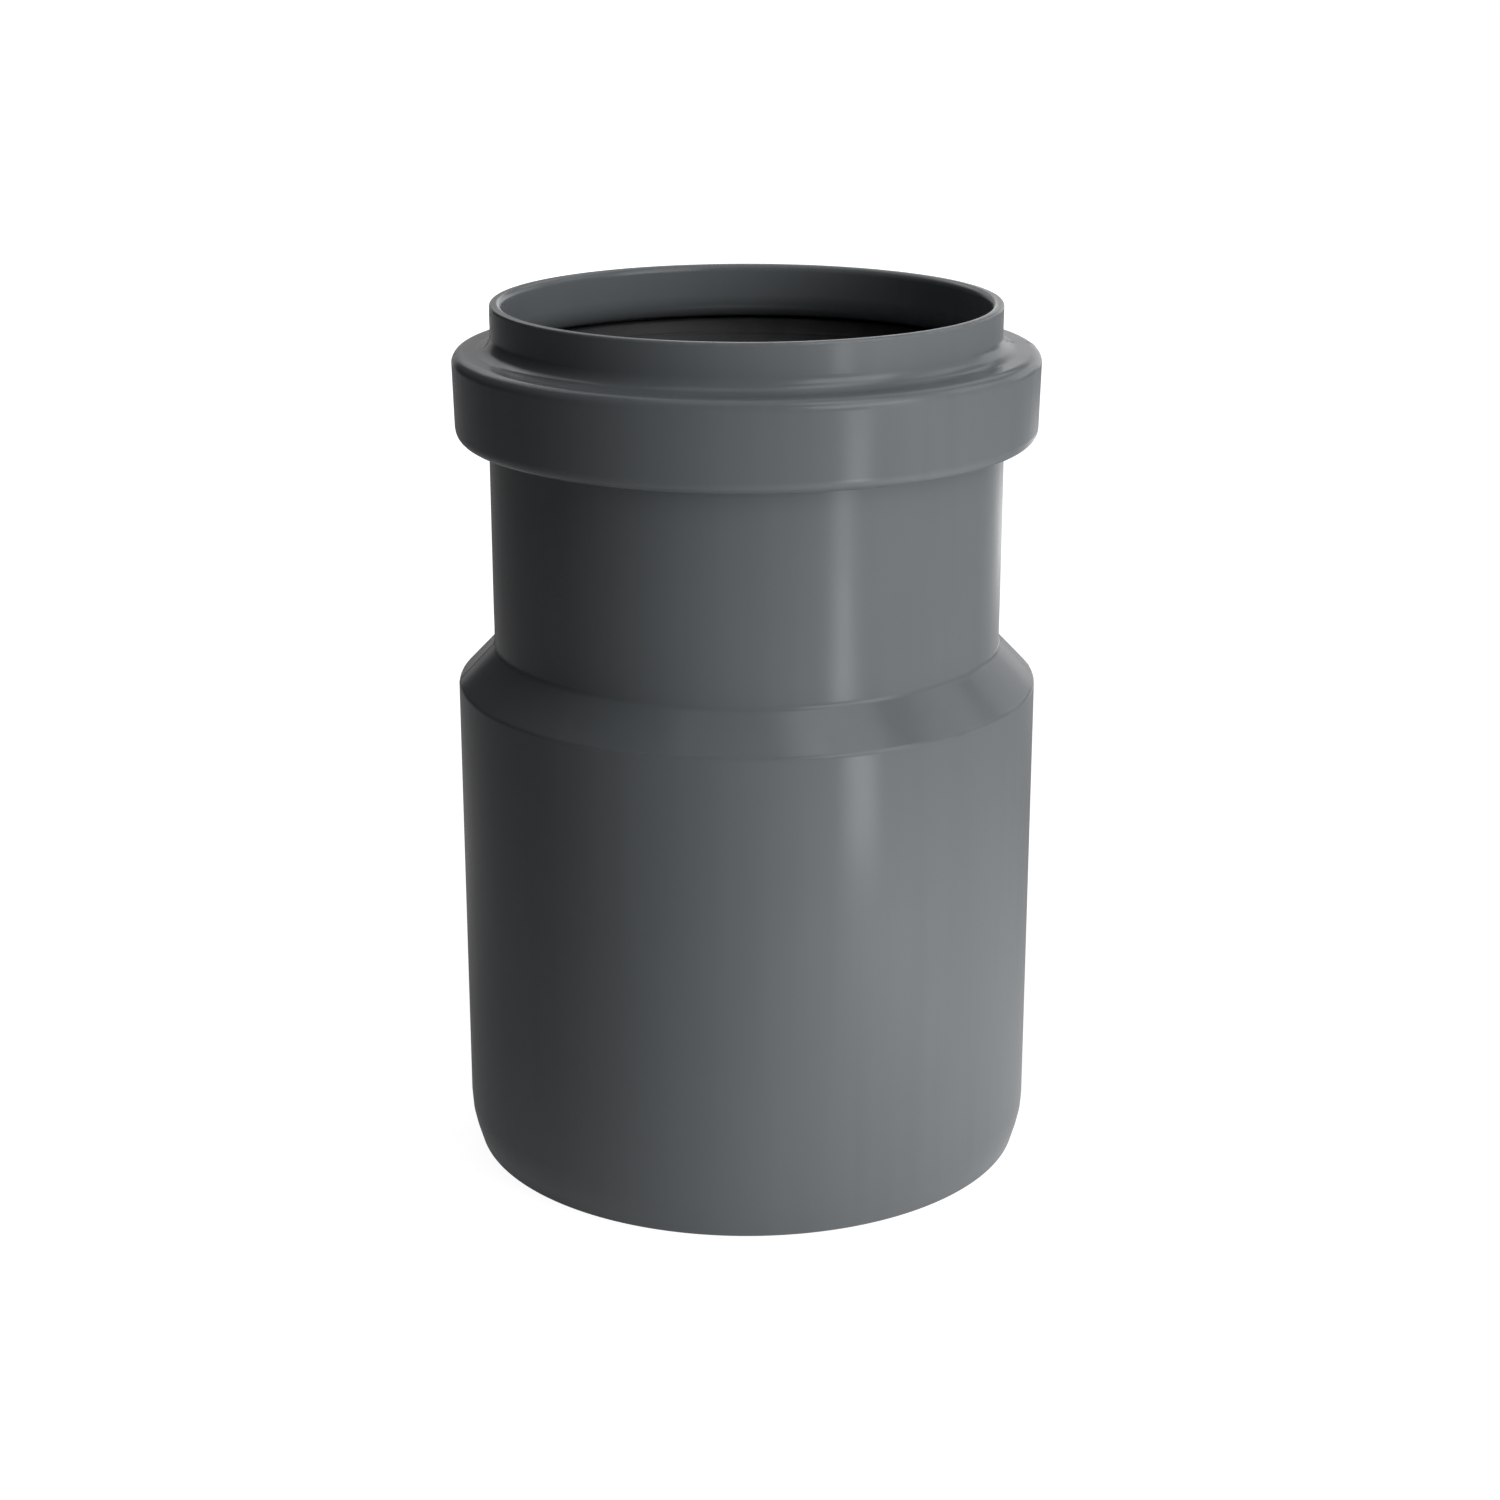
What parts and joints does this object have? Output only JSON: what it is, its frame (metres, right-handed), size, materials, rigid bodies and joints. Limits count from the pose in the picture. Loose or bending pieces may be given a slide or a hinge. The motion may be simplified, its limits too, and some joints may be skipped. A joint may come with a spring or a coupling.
{
  "type": "push fit coupling",
  "caption": "Grey push-fit reducing coupling: a ring-seal socket on top, a 45-degree cone, and a larger plain spigot with a chamfered end below.",
  "frame": {"origin": "centre of the spigot's end face, which is the bottom of the part", "axes": "+Z along the pipe axis, from the spigot's end towards the socket's mouth; X and Y are alike, because the part is round"},
  "size_m": [0.11, 0.11, 0.1645],
  "materials": {
    "polypropylene": "satin, injection moulded, mid to dark grey",
    "seal_rubber": "matte black, moulded"
  },
  "bodies": {
    "root": {"coupling_body": "polypropylene", "lip_seal": "seal_rubber"}
  },
  "joints": []
}
